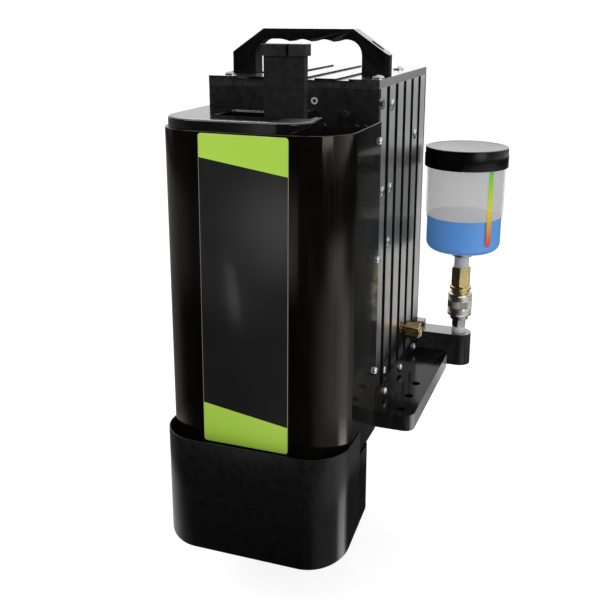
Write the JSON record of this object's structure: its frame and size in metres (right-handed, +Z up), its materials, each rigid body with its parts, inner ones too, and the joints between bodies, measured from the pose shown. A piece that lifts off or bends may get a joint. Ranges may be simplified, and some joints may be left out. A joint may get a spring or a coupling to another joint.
{
  "type": "welding torch cleaning station",
  "caption": "Air-driven station that reams, sprays and trims a robot welding torch, with a fluid jar, a carry handle, a spatter bin and side flanges.",
  "frame": {"origin": "centre of the mounting holes, on the underside of the side flanges that the station hangs by", "axes": "+X to the station's right, +Y to its back, +Z up; the long extent is upright"},
  "size_m": [0.2968, 0.3588, 0.4605],
  "materials": {
    "housing_plate": "black anodised, polished",
    "lid_plate": "black anodised, polished",
    "deck_plate": "black anodised, polished",
    "flange_plate": "black anodised, polished",
    "shell_sheet": "gloss black",
    "bin_sheet": "fine-textured black powder coat",
    "grip": "matte black",
    "tower_steel": "fine-textured black",
    "fastener": "zinc plated",
    "inner_plate": "mill finish",
    "ground_rod": "ground and hard chromed",
    "cylinder_tube": "anodised",
    "clamp_steel": "ground",
    "blade_steel": "ground tool steel",
    "seal_white": "white PTFE",
    "plug_steel": "zinc plated",
    "sleeve_nickel": "dull nickel",
    "brass_fitting": "machined",
    "bronze_bush": "oiled bronze",
    "motor_shell": "bead blasted",
    "chuck_steel": "turned",
    "cutter_tin": "titanium nitride coated",
    "valve_case": "moulded",
    "fluid_tube": "polyurethane",
    "magnet_block": "plain",
    "jar_clear": "translucent",
    "fluid_blue": "dyed water-based fluid",
    "cap_black": "moulded black",
    "label_film": "printed film, dark with two plain green wedges"
  },
  "bodies": {
    "station": {"side_plate_right": "housing_plate", "side_plate_left": "housing_plate", "front_plate": "housing_plate", "back_plate": "housing_plate", "base_plate": "housing_plate", "lid": "lid_plate", "deck": "deck_plate", "flange_right": "flange_plate", "flange_left": "flange_plate", "reservoir_arm": "flange_plate", "front_shell": "shell_sheet", "handle": "grip", "cutter_tower": "tower_steel", "cutter_head": "tower_steel", "lid_screws": "fastener", "handle_screws": "fastener", "flange_screws": "fastener", "shell_screws": "fastener", "arm_screws": "fastener", "back_screws": "fastener", "side_screws": "fastener", "panel_fittings": "fastener", "shell_rails": "inner_plate", "head_plate": "inner_plate", "foot_plate": "inner_plate", "spray_block": "inner_plate", "valve_manifold": "inner_plate", "guide_rods": "ground_rod", "lift_cylinder": "cylinder_tube", "clamp_cylinder": "cylinder_tube", "cutter_cylinder": "cylinder_tube", "v_block": "clamp_steel", "seal_collar": "seal_white", "coupler_plug": "plug_steel", "air_inlet": "brass_fitting", "spray_tips": "brass_fitting", "air_silencer": "brass_fitting", "air_valves": "valve_case", "fluid_line": "fluid_tube", "bin_magnets": "magnet_block", "label_plate": "label_film"},
    "bin": {"debris_bin": "bin_sheet"},
    "reamer_carriage": {"carriage": "inner_plate", "guide_bushes": "bronze_bush", "air_motor": "motor_shell", "lift_rod": "ground_rod"},
    "reamer": {"chuck": "chuck_steel", "reamer_cutter": "cutter_tin"},
    "jaw": {"clamp_jaw": "clamp_steel", "clamp_rod": "ground_rod"},
    "wedge": {"cutter_wedge": "blade_steel"},
    "blade": {"cutter_blade": "blade_steel"},
    "reservoir": {"reservoir_jar": "jar_clear", "spray_fluid": "fluid_blue", "coupler_body": "brass_fitting"},
    "release_sleeve": {"coupler_sleeve": "sleeve_nickel"},
    "cap_seal": {"cap_liner": "seal_white"},
    "cap": {"reservoir_cap": "cap_black"}
  },
  "joints": [
    {"name": "bin_pull", "type": "slide", "parent": "station", "child": "bin", "axis": [0, 0, -1], "range_m": [0, 0.06]},
    {"name": "reamer_lift", "type": "slide", "parent": "station", "child": "reamer_carriage", "axis": [0, 0, 1], "range_m": [0, 0.045]},
    {"name": "reamer_spin", "type": "hinge", "parent": "reamer_carriage", "child": "reamer", "pos_m": [-0.02, -0.101, 0.2], "axis": [0, 0, 1], "continuous": true},
    {"name": "jaw_close", "type": "slide", "parent": "station", "child": "jaw", "axis": [0, -1, 0], "range_m": [0, 0.007]},
    {"name": "wedge_lift", "type": "slide", "parent": "station", "child": "wedge", "axis": [0, 0, 1], "range_m": [0, 0.004]},
    {"name": "blade_slide", "type": "slide", "parent": "station", "child": "blade", "axis": [1, 0, 0], "range_m": [0, 0.004]},
    {"name": "reservoir_lift", "type": "slide", "parent": "station", "child": "reservoir", "axis": [0, 0, 1], "range_m": [0, 0.045]},
    {"name": "sleeve_release", "type": "slide", "parent": "reservoir", "child": "release_sleeve", "axis": [0, 0, 1], "range_m": [0, 0.004], "stiffness_N_per_m": 400, "springref_m": -0.005},
    {"name": "cap_lift", "type": "slide", "parent": "reservoir", "child": "cap_seal", "axis": [0, 0, 1], "range_m": [0, 0.04]},
    {"name": "cap_turn", "type": "hinge", "parent": "cap_seal", "child": "cap", "pos_m": [0.13, 0.146, 0.24], "axis": [0, 0, 1], "continuous": true}
  ],
  "couplings": [
    {"joint": "blade_slide", "follows": "wedge_lift", "ratio": 1}
  ]
}
